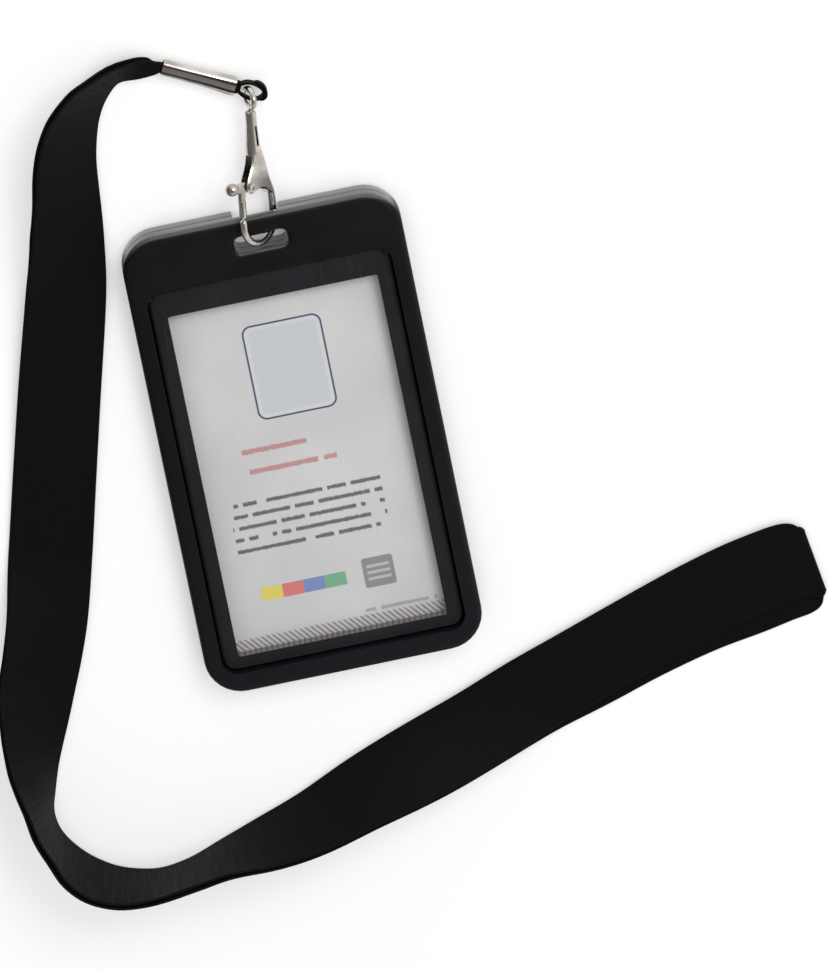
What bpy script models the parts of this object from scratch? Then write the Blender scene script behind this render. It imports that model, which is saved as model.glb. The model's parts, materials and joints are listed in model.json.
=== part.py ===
"""Badge holder on a neck ribbon: a hard card case with a flip-up window door, a swivel hook with a
spring gate, a crimp ferrule and a flat ribbon.

The origin is the centre of the case's back face. +X is right, +Y runs towards the header and +Z out of
the front. Everything is in metres.
"""

import math

import bmesh
import bpy
from mathutils import Matrix, Vector

mm = 0.001

# Case, outer shape
case_width = 68.0 * mm
case_length = 118.1 * mm
case_thickness = 8.5 * mm
case_corner_radius = 9.0 * mm
front_edge_radius = 1.4 * mm
back_edge_radius = 1.0 * mm
rear_shell_height = 4.1 * mm
fit_gap = 0.3 * mm
cut_overrun = 1.0 * mm

# Case, opening for the door and pocket for the card
side_rim = 4.1 * mm
bottom_rim = 4.9 * mm
header_depth = 13.9 * mm
pocket_corner_radius = 3.8 * mm
rear_wall = 1.0 * mm

# Windows, the same in the door and in the rear wall
window_side_margin = 4.25 * mm
window_bottom_margin = 3.6 * mm
window_top_margin = 7.4 * mm
window_corner_radius = 2.0 * mm

# Sheets and card
sheet_thickness = 0.4 * mm
front_sheet_thickness = 0.5 * mm
sheet_inset = 0.7 * mm
card_side_clearance = 1.9 * mm
card_bottom_clearance = 0.75 * mm
card_top_clearance = 4.55 * mm
card_thickness = 0.3 * mm
card_corner_radius = 1.5 * mm

# Door
door_clearance = 0.4 * mm
door_front_depth = 1.5 * mm
door_card_clearance = 0.8 * mm
door_edge_radius = 0.3 * mm
hinge_inset = 1.4 * mm
hinge_depth = 1.3 * mm
trunnion_radius = 0.5 * mm
trunnion_reach = 1.1 * mm
ear_thickness = 0.6 * mm
ear_width = 1.0 * mm
ear_inset = 0.1 * mm
ear_clearance = 0.3 * mm
socket_clearance = 0.3 * mm

# Slot in the header, and the bar above it that the hook goes round
slot_length = 13.4 * mm
slot_height = 4.0 * mm
slot_dip = 0.35 * mm
slot_dip_half_width = 2.8 * mm
slot_dip_blend = 1.8 * mm
notch_half_width = 5.7 * mm
bar_depth = 4.5 * mm
bar_thickness = 3.5 * mm
bar_edge_radius = 1.1 * mm

# Hook, in its own plane: x across the claw, y towards the eye
hook_offset = 0.3 * mm
hook_lean = math.radians(7.17)
hook_pitch = math.radians(3.27)
hook_twist = math.radians(44.3)
claw_half_width = 5.2 * mm
claw_rod_radius = 0.93 * mm
claw_centre_height = 0.45 * mm
claw_tip_height = 2.1 * mm
claw_root_height = 10.6 * mm
body_half_thickness = 1.4 * mm
body_edge = 0.35 * mm
body_foot_height = 8.1 * mm
body_top_height = 18.8 * mm
barrel_radius = 1.8 * mm
barrel_top_radius = 1.4 * mm
barrel_base_height = 17.4 * mm
barrel_waist_height = 19.0 * mm
barrel_neck_height = 24.5 * mm
barrel_top_height = 28.0 * mm
barrel_window_width = 0.7 * mm
barrel_window_low = 19.5 * mm
barrel_window_high = 24.4 * mm
collar_thickness = 1.1 * mm

# Gate
pivot_inset = 2.2 * mm
pivot_height = 10.0 * mm
lever_half_thickness = 0.55 * mm
lever_edge = 0.12 * mm
lever_slot_clearance = 0.25 * mm
gate_rod_radius = 0.92 * mm
gate_gap = 0.45 * mm
gate_rod_top_height = 7.0 * mm
knob_radius = 1.6 * mm
knob_reach = 5.3 * mm
knob_rise = 0.4 * mm
tail_height = 12.3 * mm
tail_travel = 2.8 * mm
pin_radius = 0.5 * mm
pin_head_radius = 0.85 * mm
pin_head_thickness = 0.3 * mm
pin_play = 0.08 * mm
pin_head_gap = 0.12 * mm

# Spring above the gate's tail
spring_wire_radius = 0.16 * mm
spring_radius = 0.6 * mm
spring_bore_clearance = 0.2 * mm
spring_end_gap = 0.3 * mm
spring_pitch = 1.0 * mm

# Swivel eye
eye_twist = math.radians(104.0)
eye_base_height = 29.0 * mm
eye_top_height = 33.5 * mm
eye_half_width = 3.7 * mm
eye_wire_radius = 0.7 * mm
stem_radius = 0.5 * mm
stem_head_thickness = 1.1 * mm
swivel_play = 0.2 * mm

# Crimp ferrule, from the end at the ribbon to the end at the eye
ferrule_start = Vector((-14.75 * mm, 98.67 * mm, 2.3 * mm))
ferrule_end = Vector((1.36 * mm, 90.17 * mm, 2.3 * mm))
ferrule_start_width = 3.9 * mm
ferrule_end_width = 4.7 * mm
ferrule_height = 3.4 * mm
ferrule_wall = 0.45 * mm
ferrule_corner_radius = 1.2 * mm
ferrule_pinch = 0.35 * mm

# Ribbon
ribbon_width = 20.0 * mm
ribbon_thickness = 0.6 * mm
ribbon_stack = 1.2 * mm
ribbon_rest_gap = 0.12 * mm

# Inner edge of the ribbon's lower run, from the ferrule round to the far fold, chosen by hand in the
# photograph: x and y in mm, lean in degrees (0 lies flat, 90 stands on its inner edge), share of the
# full width, lift of the edge in mm, and how far the lower run shows beyond the upper one in mm
ribbon_route = (
    (-14.4, 97.1, 0, 0.12, 1.43, 0),
    (-15.3, 97.6, 0, 0.12, 1.42, 0),
    (-17.2, 97.4, 8, 0.21, 1.3, 0),
    (-20.7, 97.5, 28, 0.31, 0.85, 0),
    (-25.9, 97.7, 50, 0.44, 0.3, 0),
    (-29.7, 94.4, 51, 0.77, 0, 0),
    (-32.2, 90.4, 47.5, 0.92, 0, 0),
    (-33.9, 85.8, 45, 1, 0, 0),
    (-35.4, 79.2, 41, 1, 0, 0),
    (-36.1, 72.0, 37, 1, 0, 0),
    (-36.6, 64.8, 30, 1, 0, 0),
    (-37.3, 58.0, 25, 1, 0, 0),
    (-38.5, 48.7, 16, 1, 0, 0),
    (-40.7, 38.5, 11, 1, 0, 0),
    (-45.6, 18.9, 4, 1, 0, 0),
    (-51.0, -2.9, 0, 1, 0, 0.1),
    (-55.4, -20.5, 0, 1, 0, 0.2),
    (-59.3, -34.2, 10, 1, 0, 0),
    (-63.0, -44.3, 16, 1, 0, 0),
    (-66.4, -52.3, 20, 1, 0, 0),
    (-69.2, -58.5, 29, 1, 0, 0),
    (-71.9, -64.1, 40.5, 1, 0, 0),
    (-74.4, -69.6, 52.5, 1, 0, 0),
    (-76.6, -75.5, 66, 1, 0, 0),
    (-78.2, -81.3, 76, 1, 0, 0),
    (-77.5, -86.8, 80.5, 1, 0, 0),
    (-74.8, -91.6, 78, 1, 0, 0),
    (-70.8, -96.0, 77.5, 1, 0, 0),
    (-65.7, -99.7, 81, 1, 0, 0),
    (-60.0, -102.0, 86, 1, 0, 0),
    (-53.9, -103.0, 90, 1, 0, 0),
    (-46.6, -101.8, 89.5, 1, 0, 0),
    (-38.4, -98.7, 83.5, 1, 0, 0),
    (-28.5, -94.9, 70, 1, 0, 0),
    (-17.5, -90.6, 58.5, 1, 0, 0),
    (-4.5, -84.3, 44.5, 1, 0, 0),
    (9.0, -78.7, 30, 1, 0, 0.2),
    (23.9, -73.1, 14, 1, 0, 0.2),
    (37.7, -67.5, 3, 1, 0, 1.3),
    (52.1, -62.5, 0, 1, 0, 2.3),
    (66.3, -57.6, 0, 1, 0, 2.7),
    (80.7, -52.8, 0, 1, 0, 3.8),
    (92.8, -49.4, 0, 1, 0, 5),
    (102.9, -47.5, 0, 1, 0, 5),
    (112.9, -47.7, 0, 0.98, 0, 0),
)

# Ends of the far fold's line, x and y in mm
far_fold_inner = (112.9, -47.9)
far_fold_outer = (115.8, -68.1)

# Small loop through the eye, a strip on its edge: along the ferrule's direction from its end, across
# it, above its centre line, and width, all in mm
end_loop_route = (
    (-1.2, 0.45, 0, 2),
    (0.3, 0.6, 0.2, 2.1),
    (1.2, 1.45, 0.8, 2.5),
    (2.2, 2.2, 1.3, 2.8),
    (3.6, 2.45, 1.4, 2.8),
    (5.2, 2.15, 1.3, 2.8),
    (6.5, 1.4, 1.1, 2.8),
    (6.95, 0.4, 1.1, 2.8),
    (6.4, -0.55, 1.4, 2.7),
    (5.2, -1.1, 1.8, 2.5),
    (3.7, -1.2, 2.0, 2.3),
    (2.2, -1.15, 1.4, 2.2),
    (1, -0.8, 0.4, 2.2),
    (0.2, -0.5, 0.1, 2.1),
    (-1.2, -0.45, 0, 2),
)

# Shares of the claw's half width and of the height from the body's foot to its top, counter-clockwise
body_outline_shares = (
    (-0.28, 1), (-0.31, 0.83), (-0.385, 0.67), (-0.5, 0.53), (-0.65, 0.4), (-0.77, 0.27), (-0.81, 0.16),
    (-0.75, 0.065), (-0.6, 0.01), (-0.42, 0.01), (-0.19, 0.05), (0.08, 0.065), (0.31, 0.04), (0.52, -0.03),
    (0.69, -0.11), (0.885, -0.14), (0.94, -0.05), (0.83, 0.1), (0.73, 0.25), (0.65, 0.42), (0.56, 0.59),
    (0.45, 0.775), (0.355, 0.925), (0.29, 1),
)

# Shares of the claw's half width and of its root height: the start of the claw's centre line
claw_root_shares = ((0.66, 1.0), (0.84, 0.82), (0.965, 0.65), (1.0, 0.49))

# Levels of detail
corner_steps = 8
edge_steps = 4
rod_sides = 12
arc_steps = 14
turn_steps = 20
spring_points_per_turn = 9
spring_sides = 5
route_steps = 5

# Sizes that follow from the ones above
opening_width = case_width - 2 * side_rim
opening_length = case_length - bottom_rim - header_depth
opening_centre = (bottom_rim - header_depth) / 2
opening_top = opening_centre + opening_length / 2
window_width = opening_width - 2 * window_side_margin
window_length = opening_length - window_bottom_margin - window_top_margin
window_centre = opening_centre + (window_bottom_margin - window_top_margin) / 2
card_width = opening_width - 2 * card_side_clearance
card_length = opening_length - card_bottom_clearance - card_top_clearance
card_centre = opening_centre + (card_bottom_clearance - card_top_clearance) / 2
rear_sheet_low = rear_wall + fit_gap
card_low = rear_sheet_low + sheet_thickness + fit_gap
card_high = card_low + card_thickness
front_sheet_high = case_thickness - door_front_depth
door_low = card_high + door_card_clearance
door_high = front_sheet_high - front_sheet_thickness - fit_gap
hinge_y = opening_top - door_clearance - hinge_inset
hinge_z = case_thickness - hinge_depth
door_width = opening_width - 2 * door_clearance
door_length = opening_length - 2 * door_clearance
door_corner_radius = pocket_corner_radius - door_clearance
ear_outside = (door_width / 2 - door_corner_radius - ear_inset
               + math.sqrt(door_corner_radius ** 2 - (door_corner_radius - hinge_inset) ** 2))
ear_inside = ear_outside - ear_thickness
trunnion_tip = opening_width / 2 + trunnion_reach
bar_top = case_length / 2
slot_top = bar_top - bar_depth
slot_centre = slot_top - slot_height / 2
bar_low = case_thickness - bar_thickness
bar_axis = Vector((hook_offset, (slot_top - slot_dip + bar_top) / 2, (bar_low + case_thickness) / 2))
body_height = body_top_height - body_foot_height
cavity_half_thickness = lever_half_thickness + lever_slot_clearance
pivot = Vector((pivot_inset - claw_half_width, pivot_height, 0))
tail_top = tail_height
gate_low = claw_tip_height + gate_gap
bore_radius = spring_radius + spring_wire_radius + spring_bore_clearance
bore_top = barrel_top_height - collar_thickness
stem_head_radius = bore_radius - swivel_play / 2
stem_head_high = bore_top - swivel_play
stem_head_low = stem_head_high - stem_head_thickness


def material(name, color, roughness, metallic=0.0, alpha=1.0):
    """A plain surface finish."""
    result = bpy.data.materials.new(name)
    result.use_nodes = True
    surface = result.node_tree.nodes["Principled BSDF"]
    surface.inputs["Base Color"].default_value = (*color, 1)
    surface.inputs["Roughness"].default_value = roughness
    surface.inputs["Metallic"].default_value = metallic
    surface.inputs["Alpha"].default_value = alpha
    return result


def empty(name, matrix, parent=None):
    """A frame to hang pieces on, given in its parent's frame."""
    result = bpy.data.objects.new(name, None)
    bpy.context.collection.objects.link(result)
    result.parent = parent
    result.matrix_local = matrix
    result.hide_render = True
    return result


def skin(name, loops, parent=None, closed=False):
    """A solid through loops of equal length that turn counter-clockwise about the way they advance."""
    build = bmesh.new()
    rings = [[build.verts.new(point) for point in loop] for loop in loops]
    pairs = list(zip(rings, rings[1:]))
    if closed:
        pairs.append((rings[-1], rings[0]))
    for lower, upper in pairs:
        for i in range(len(lower)):
            j = (i + 1) % len(lower)
            build.faces.new((lower[i], lower[j], upper[j], upper[i]))
    if not closed:
        build.faces.new(list(reversed(rings[0])))
        build.faces.new(rings[-1])
    mesh = bpy.data.meshes.new(name)
    build.to_mesh(mesh)
    build.free()
    mesh.shade_smooth()
    mesh.set_sharp_from_angle(angle=math.radians(30))
    result = bpy.data.objects.new(name, mesh)
    bpy.context.collection.objects.link(result)
    result.parent = parent
    return result


def combine(target, tool, operation):
    """Cuts a tool out of a solid or joins it on; the tool itself isn't part of the model."""
    step = target.modifiers.new(tool.name, "BOOLEAN")
    step.operation = operation
    step.solver = "EXACT"
    step.object = tool
    tool.hide_render = True
    tool.display_type = "WIRE"


def cut(target, tool):
    combine(target, tool, "DIFFERENCE")


def join(target, tool):
    combine(target, tool, "UNION")


def rounded_outline(width, length, radius, centre_y=0.0):
    """A rounded rectangle, counter-clockwise seen from +Z."""
    points = []
    for corner in range(4):
        turn = corner * math.pi / 2
        side_x = 1 if corner in (0, 3) else -1
        side_y = 1 if corner in (0, 1) else -1
        for step in range(corner_steps + 1):
            angle = turn + step / corner_steps * math.pi / 2
            points.append((side_x * (width / 2 - radius) + radius * math.cos(angle),
                           centre_y + side_y * (length / 2 - radius) + radius * math.sin(angle)))
    return points


def at_height(outline, z):
    return [(x, y, z) for x, y in outline]


def slab(name, width, length, radius, low, high, low_edge=0.0, high_edge=0.0, centre_y=0.0):
    """A rounded rectangle from one height to another, with rounded lower and upper edges."""
    levels = [(low_edge * (1 - math.sin(a)), low + low_edge * (1 - math.cos(a))) for a in edge_angles(low_edge)]
    levels += [(high_edge * (1 - math.sin(a)), high - high_edge * (1 - math.cos(a)))
               for a in reversed(edge_angles(high_edge))]
    loops = [at_height(rounded_outline(width - 2 * inset, length - 2 * inset, radius - inset, centre_y), z)
             for inset, z in levels]
    return skin(name, loops)


def edge_angles(radius):
    """Angles of a rounded edge from its flat face to its side, or the side alone for a sharp edge."""
    if radius == 0:
        return [math.pi / 2]
    return [step / edge_steps * math.pi / 2 for step in range(edge_steps + 1)]


def frame_about(direction, hint):
    """Two unit vectors square to a direction, the first one near the hint, right-handed about it."""
    first = (hint - direction * hint.dot(direction)).normalized()
    return first, direction.cross(first)


def circle(centre, first, second, radius, sides):
    return [centre + radius * (math.cos(turn) * first + math.sin(turn) * second)
            for turn in (2 * math.pi * i / sides for i in range(sides))]


def tube(name, path, radii, sides, hint, parent=None, closed=False):
    """A round bar along a path; the hint is a direction that the path never runs along."""
    loops = []
    count = len(path)
    for i, point in enumerate(path):
        before = path[i - 1] if closed or i > 0 else point
        after = path[(i + 1) % count] if closed or i < count - 1 else point
        first, second = frame_about((after - before).normalized(), hint)
        loops.append(circle(point, first, second, radii[i], sides))
    return skin(name, loops, parent, closed)


def turned(name, profile, parent, sides=turn_steps, axis=Vector((0, 1, 0)), centre=Vector((0, 0, 0))):
    """A solid turned about an axis: the profile lists radius and height, from the bottom up."""
    first, second = frame_about(axis, Vector((axis.y, axis.z, axis.x)))
    loops = [circle(centre + height * axis, first, second, radius, sides) for radius, height in profile]
    return skin(name, loops, parent)


def inset_outline(outline, distance):
    """An outline moved inwards, corner by corner."""
    result = []
    count = len(outline)
    for i, point in enumerate(outline):
        here = Vector(point)
        one = (here - Vector(outline[i - 1])).normalized()
        two = (Vector(outline[(i + 1) % count]) - here).normalized()
        inward_one = Vector((-one.y, one.x))
        inward_two = Vector((-two.y, two.x))
        result.append(here + (inward_one + inward_two) * distance / (1 + inward_one.dot(inward_two)))
    return [(x, y) for x, y in result]


def plate(name, outline, half_thickness, edge, parent):
    """A flat plate with chamfered edges in its parent's XY plane."""
    small = inset_outline(outline, edge)
    loops = [at_height(small, -half_thickness), at_height(outline, edge - half_thickness),
             at_height(outline, half_thickness - edge), at_height(small, half_thickness)]
    return skin(name, loops, parent)


def smooth_rows(rows, steps):
    """Rows of numbers on a smooth curve through the given rows."""
    result = []
    for i in range(len(rows) - 1):
        p0 = rows[max(i - 1, 0)]
        p1, p2 = rows[i], rows[i + 1]
        p3 = rows[min(i + 2, len(rows) - 1)]
        for step in range(steps):
            t = step / steps
            result.append(tuple(
                0.5 * (2 * b + (c - a) * t + (2 * a - 5 * b + 4 * c - d) * t * t + (3 * b - a - 3 * c + d) * t ** 3)
                for a, b, c, d in zip(p0, p1, p2, p3)))
    result.append(tuple(rows[-1]))
    return result


def strap(name, stations, thickness, parent=None):
    """A flat strip; each station is its centre, its travel, the way across it and its full width."""
    loops = []
    for centre, travel, across, width in stations:
        up = across.cross(travel).normalized()
        half = across.normalized() * width / 2
        rise = up * thickness / 2
        loops.append([centre - rise - half, centre + rise - half, centre + rise + half, centre - rise + half])
    return skin(name, loops, parent)


def slot_outline(spread, dip):
    """The slot's outline; its upper edge dips in the middle."""
    points = []
    radius = slot_height / 2
    straight = slot_length / 2 - radius
    for side in (1, -1):
        for step in range(corner_steps + 1):
            angle = (step / corner_steps - 0.5) * math.pi + (0 if side > 0 else math.pi)
            points.append((side * straight + (radius + spread) * math.cos(angle),
                           slot_centre + (radius + spread) * math.sin(angle)))
        if side > 0:
            points += dipped_edge(spread, dip)
    return points


def dipped_edge(spread, dip):
    """The slot's upper edge from right to left, between its round ends."""
    edge = []
    outer = slot_dip_half_width + slot_dip_blend / 2
    for step in range(arc_steps + 1):
        x = outer * (1 - 2 * step / arc_steps)
        share = min(1, max(0, (outer - abs(x)) / slot_dip_blend))
        drop = dip * (1 - math.cos(math.pi * share)) / 2
        edge.append((x, slot_top + spread - drop))
    return edge


def make_front_shell(finish):
    """The front half of the case: a frame round the door, and the header with its slot and bar."""
    shell = slab("front_shell", case_width, case_length, case_corner_radius, rear_shell_height + fit_gap,
                 case_thickness, high_edge=front_edge_radius)
    cut(shell, slab("front_opening", opening_width, opening_length, pocket_corner_radius,
                    rear_shell_height - cut_overrun, case_thickness + cut_overrun, centre_y=opening_centre))
    edge = bar_edge_radius
    levels = [(0.0, rear_shell_height - cut_overrun)]
    levels += [(edge * (1 - math.cos(a)), case_thickness - edge + edge * math.sin(a)) for a in edge_angles(edge)]
    levels.append((edge, case_thickness + cut_overrun))
    cut(shell, skin("front_slot", [at_height(slot_outline(spread, slot_dip), z) for spread, z in levels]))
    cut(shell, bar_relief())
    for side in (1, -1):
        cut(shell, cross_bar(f"socket_{side_name(side)}", side, ear_inside, trunnion_tip + socket_clearance,
                             trunnion_radius + socket_clearance))
    shell.data.materials.append(finish)


def bar_relief():
    """The room behind the bar for the hook's rear leg, which also rounds the bar's lower edges."""
    edge = bar_edge_radius
    profile = [(slot_centre, rear_shell_height - cut_overrun), (bar_top + cut_overrun, rear_shell_height - cut_overrun),
               (bar_top + cut_overrun, bar_low + edge)]
    profile += [(bar_top - edge + edge * math.cos(a), bar_low + edge - edge * math.sin(a)) for a in edge_angles(edge)]
    profile += [(slot_top + edge - edge * math.sin(a), bar_low + edge - edge * math.cos(a)) for a in edge_angles(edge)]
    profile.append((slot_centre, bar_low + edge))
    return skin("bar_relief", [[(x, y, z) for y, z in profile] for x in (-notch_half_width, notch_half_width)])


def make_rear_shell(finish):
    """The back half of the case: the pocket's walls, the rear window's ledge and the notched header."""
    shell = slab("rear_shell", case_width, case_length, case_corner_radius, 0.0, rear_shell_height,
                 low_edge=back_edge_radius)
    cut(shell, slab("pocket", opening_width, opening_length, pocket_corner_radius, rear_wall,
                    rear_shell_height + cut_overrun, centre_y=opening_centre))
    cut(shell, slab("rear_opening", window_width, window_length, window_corner_radius, -cut_overrun,
                    rear_wall + cut_overrun, centre_y=window_centre))
    low, high = -cut_overrun, rear_shell_height + cut_overrun
    cut(shell, skin("rear_slot", [at_height(slot_outline(0.0, 0.0), low), at_height(slot_outline(0.0, 0.0), high)]))
    half = notch_half_width
    notch = [(-half, slot_centre), (half, slot_centre), (half, bar_top + cut_overrun), (-half, bar_top + cut_overrun)]
    cut(shell, skin("header_notch", [at_height(notch, low), at_height(notch, high)]))
    shell.data.materials.append(finish)


def side_name(side):
    return "right" if side > 0 else "left"


def cross_bar(name, side, root, tip, radius):
    """A round bar on the door's hinge line, from one distance off the middle to another."""
    ends = sorted((side * root, side * tip))
    path = [Vector((x, hinge_y, hinge_z)) for x in ends]
    return tube(name, path, (radius, radius), rod_sides, Vector((0, 0, 1)))


def corner_block(name, side, inside, outside, low_y, high_y, low, high):
    """A plain block at one side of the door."""
    left, right = sorted((side * inside, side * outside))
    outline = [(left, low_y), (right, low_y), (right, high_y), (left, high_y)]
    return skin(name, [at_height(outline, low), at_height(outline, high)])


def make_door(frame_finish, sheet_finish):
    """The ring that flips up on two moulded ears with trunnions, and the clear sheet on it."""
    ring = slab("door_frame", door_width, door_length, door_corner_radius, door_low, door_high,
                high_edge=door_edge_radius, centre_y=opening_centre)
    cut(ring, slab("door_window", window_width, window_length, window_corner_radius, door_low - cut_overrun,
                   door_high + cut_overrun, centre_y=window_centre))
    sheet = slab("front_window", door_width - 2 * sheet_inset, door_length - 2 * sheet_inset,
                 door_corner_radius - sheet_inset, front_sheet_high - front_sheet_thickness, front_sheet_high,
                 centre_y=opening_centre)
    for side in (1, -1):
        low_y, high_y = hinge_y - ear_width / 2, hinge_y + ear_width / 2
        join(ring, corner_block(f"ear_{side_name(side)}", side, ear_inside, ear_outside, low_y, high_y,
                                (door_low + door_high) / 2, hinge_z + trunnion_radius))
        join(ring, cross_bar(f"trunnion_{side_name(side)}", side, ear_inside, trunnion_tip, trunnion_radius))
        cut(sheet, corner_block(f"notch_{side_name(side)}", side, ear_inside - ear_clearance,
                                door_width / 2 + cut_overrun, low_y - ear_clearance, opening_top + cut_overrun,
                                door_high, front_sheet_high + cut_overrun))
    ring.data.materials.append(frame_finish)
    sheet.data.materials.append(sheet_finish)
    place = Matrix.Translation((0, hinge_y, hinge_z))
    hinge = empty("door_hinge_axis", place)
    for piece in [ring, sheet] + [step.object for step in list(ring.modifiers) + list(sheet.modifiers)]:
        piece.parent = hinge
        piece.matrix_parent_inverse = place.inverted()


def make_inner_sheets(sheet_finish, card_finish):
    """The clear sheet over the rear window and the card on it."""
    sheet = slab("rear_window", opening_width - 2 * sheet_inset, opening_length - 2 * sheet_inset,
                 pocket_corner_radius - sheet_inset, rear_sheet_low, rear_sheet_low + sheet_thickness,
                 centre_y=opening_centre)
    sheet.data.materials.append(sheet_finish)
    card = slab("insert_card", card_width, card_length, card_corner_radius, card_low, card_high,
                centre_y=card_centre)
    card.data.materials.append(card_finish)


def claw_path():
    """Centre line of the claw: down the right side, round and up to the tip on the left."""
    path = [Vector((x * claw_half_width, y * claw_root_height, 0)) for x, y in claw_root_shares]
    for step in range(arc_steps + 1):
        angle = -math.pi * step / arc_steps
        path.append(Vector((claw_half_width * math.cos(angle),
                            claw_centre_height + claw_half_width * math.sin(angle), 0)))
    for share in (0.5, 0.8, 1.0):
        path.append(Vector((-claw_half_width, claw_centre_height + share * (claw_tip_height - claw_centre_height), 0)))
    return path


def make_hook_body(finish, parent):
    """The claw, the flared housing and the swivel barrel, with the gate's cavity and the spring's bore."""
    outline = [(x * claw_half_width, body_foot_height + y * body_height) for x, y in body_outline_shares]
    body = plate("hook_body", outline, body_half_thickness, body_edge, parent)
    path = claw_path()
    radii = [claw_rod_radius] * (len(path) - 2) + [0.86 * claw_rod_radius, 0.45 * claw_rod_radius]
    join(body, tube("claw", path, radii, rod_sides, Vector((0, 0, 1)), parent))
    join(body, turned("barrel", [(barrel_radius, barrel_base_height), (barrel_radius, barrel_waist_height),
                                 (barrel_top_radius, barrel_neck_height),
                                 (barrel_top_radius, barrel_top_height - body_edge),
                                 (barrel_top_radius - body_edge, barrel_top_height)], parent))
    cut(body, plate("gate_cavity", cavity_outline(), cavity_half_thickness, lever_edge, parent))
    cut(body, turned("spring_bore", [(bore_radius, tail_top), (bore_radius, bore_top)], parent))
    collar_radius = stem_radius + swivel_play
    cut(body, turned("collar_bore", [(collar_radius, stem_head_low), (collar_radius, barrel_top_height + cut_overrun)],
                     parent))
    cut(body, barrel_window(parent))
    reach = body_half_thickness + cut_overrun
    hole = pin_radius + pin_play
    cut(body, turned("pin_hole", [(hole, -reach), (hole, reach)], parent, rod_sides, Vector((0, 0, 1)), pivot))
    body.data.materials.append(finish)


def cavity_outline():
    """The slit that the gate swings in: open to the left and below, closed on the right."""
    low = body_foot_height - body_height / 2
    left = -claw_half_width - knob_reach
    right = bore_radius + tail_travel / 2
    return [(left, low), (0.5 * right, low), (right, 0.5 * (low + pivot_height)), (right, tail_top + tail_travel / 2),
            (0.5 * right, tail_top + tail_travel), (-bore_radius, tail_top + tail_travel),
            (-2 * bore_radius, tail_top + 0.75 * tail_travel), (left, tail_top + 0.4 * tail_travel)]


def barrel_window(parent):
    """The slit down the barrel's face, which shows the spring."""
    half = barrel_window_width / 2
    outline = [(-half, barrel_window_low), (half, barrel_window_low), (half, barrel_window_high),
               (-half, barrel_window_high)]
    return skin("barrel_window", [at_height(outline, 0.0), at_height(outline, barrel_radius + cut_overrun)], parent)


def lever_outline():
    """The gate's plate: tail under the spring, boss round the pin, arm down and root of the knob."""
    boss = 1.3 * pin_head_radius
    points = [(bore_radius * 0.9, tail_top), (-bore_radius, tail_top)]
    points.append((pivot.x + 0.5 * boss, pivot_height + 1.2 * boss))
    points.append((pivot.x - 0.6 * boss, pivot_height + 1.25 * boss))
    knob = Vector((pivot.x - knob_reach, pivot_height + knob_rise))
    points += [(knob.x + 0.4 * knob_radius, knob.y + 0.3 * knob_radius),
               (knob.x, knob.y + 0.2 * knob_radius), (knob.x, knob.y - 0.4 * knob_radius),
               (knob.x + 0.7 * knob_radius, knob.y - 0.7 * knob_radius)]
    left, right = -claw_half_width - 0.8 * gate_rod_radius, -claw_half_width + 0.8 * gate_rod_radius
    foot = gate_rod_top_height - 0.6 * gate_rod_radius
    points += [(left, pivot_height - boss), (left, foot), (right, foot), (right + 0.3 * boss, pivot_height - boss)]
    points += [(pivot.x + boss, pivot_height - 0.8 * boss), (-bore_radius, tail_top - 1.2 * boss),
               (bore_radius * 0.9, tail_top - boss)]
    return points


def make_trigger(lever_finish, pin_finish, parent):
    """The gate with its thumb knob, on a rivet through the housing."""
    place = Matrix.Translation(pivot)
    axis = empty("trigger_axis", place, parent)
    lever = plate("trigger_lever", lever_outline(), lever_half_thickness, lever_edge, axis)
    rod_low, rod_high = gate_low, gate_rod_top_height
    rod = tube("gate_rod", [Vector((-claw_half_width, y, 0)) for y in
                            (rod_low, rod_low + 0.3 * gate_rod_radius, rod_high - 0.3 * gate_rod_radius, rod_high)],
               [0.7 * gate_rod_radius, gate_rod_radius, gate_rod_radius, 0.7 * gate_rod_radius], rod_sides,
               Vector((0, 0, 1)), axis)
    knob_centre = pivot + Vector((-knob_reach, knob_rise, 0))
    rows = [math.pi * (step / 8 - 0.5) for step in range(1, 8)]
    knob = turned("knob", [(knob_radius * math.cos(a), knob_radius * math.sin(a)) for a in rows], axis, 16,
                  Vector((0, 0, 1)), knob_centre)
    reach = body_half_thickness + cut_overrun
    hole = turned("lever_hole", [(pin_radius + pin_play, -reach), (pin_radius + pin_play, reach)], axis, rod_sides,
                  Vector((0, 0, 1)), pivot)
    for piece in (lever, rod, knob, hole):
        piece.matrix_parent_inverse = place.inverted()
    join(lever, rod)
    join(lever, knob)
    cut(lever, hole)
    lever.data.materials.append(lever_finish)
    inner = body_half_thickness + pin_head_gap
    outer = inner + pin_head_thickness
    profile = [(0.75 * pin_head_radius, -outer), (pin_head_radius, -outer + 0.3 * pin_head_thickness),
               (pin_head_radius, -inner), (pin_radius, -inner), (pin_radius, inner), (pin_head_radius, inner),
               (pin_head_radius, outer - 0.3 * pin_head_thickness), (0.75 * pin_head_radius, outer)]
    pin = turned("lever_pin", profile, parent, rod_sides, Vector((0, 0, 1)), pivot)
    pin.data.materials.append(pin_finish)


def make_spring(finish, parent):
    """The coil spring between the gate's tail and the stem's head."""
    low = tail_top + spring_end_gap + spring_wire_radius
    high = stem_head_low - spring_end_gap - spring_wire_radius
    turns = max(2, round((high - low) / spring_pitch))
    count = turns * spring_points_per_turn
    path = []
    for i in range(count + 1):
        angle = 2 * math.pi * i / spring_points_per_turn
        path.append(Vector((spring_radius * math.cos(angle), low + (high - low) * i / count,
                            -spring_radius * math.sin(angle))))
    spring = tube("trigger_spring", path, [spring_wire_radius] * len(path), spring_sides, Vector((0, 1, 0)), parent)
    spring.data.materials.append(finish)
    gap = (high - low) / turns - 2 * spring_wire_radius
    print(f"least gap between the spring's turns: {gap / mm:.2f} mm")


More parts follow.
